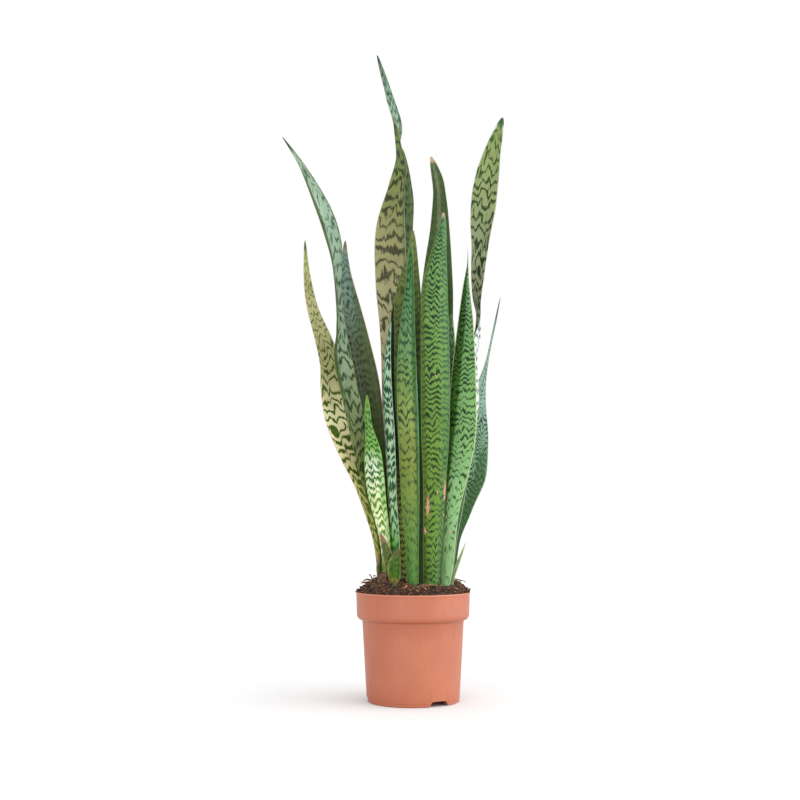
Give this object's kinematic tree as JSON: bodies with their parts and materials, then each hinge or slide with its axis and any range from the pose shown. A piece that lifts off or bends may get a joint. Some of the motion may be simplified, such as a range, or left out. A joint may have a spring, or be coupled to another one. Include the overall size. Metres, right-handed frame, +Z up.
{
  "type": "potted snake plant",
  "caption": "Upright sword-leaved houseplant with banded, slightly twisted leaves, standing in a plain terracotta-coloured nursery pot of soil.",
  "frame": {"origin": "centre of the pot's underside, on the surface it stands on", "axes": "+Z up along the leaves, +X to the right and -Y to the front as the plant is looked at from the front"},
  "size_m": [0.281, 0.14, 0.824],
  "materials": {
    "pot": "satin moulded plastic, terracotta coloured",
    "soil": "moist crumbly peat and coir",
    "bark": "dry bark and twig",
    "leaf_green": "waxy leaf, green with darker cross bands",
    "leaf_khaki": "waxy leaf, khaki green with dark cross bands",
    "leaf_pale": "waxy leaf, pale mint with dark marks",
    "leaf_dark": "waxy leaf, dark olive green with faint bands",
    "sheath": "short waxy sheath leaf, dark green"
  },
  "bodies": {
    "root": {"pot": "pot", "potting_soil": "soil", "leaf_tallest": "leaf_khaki", "leaf_right_tall": "leaf_khaki", "leaf_left_tall": "leaf_pale", "leaf_back_right": "leaf_dark", "leaf_back_centre": "leaf_dark", "leaf_outer_left": "leaf_khaki", "leaf_back_left": "leaf_dark", "leaf_front_centre": "leaf_green", "leaf_front_right": "leaf_green", "leaf_keeled_right": "leaf_green", "leaf_bowed_right": "leaf_green", "leaf_behind_centre": "leaf_dark", "leaf_dark_centre": "leaf_dark", "leaf_narrow_left": "leaf_green", "leaf_variegated": "leaf_pale", "leaf_short_right": "leaf_dark", "sheath_front": "sheath", "sheath_left": "sheath", "sheath_outer_left": "sheath", "sheath_right_spike": "sheath", "young_shoot": "sheath", "bark_chip": "bark", "twig": "bark"}
  },
  "joints": []
}
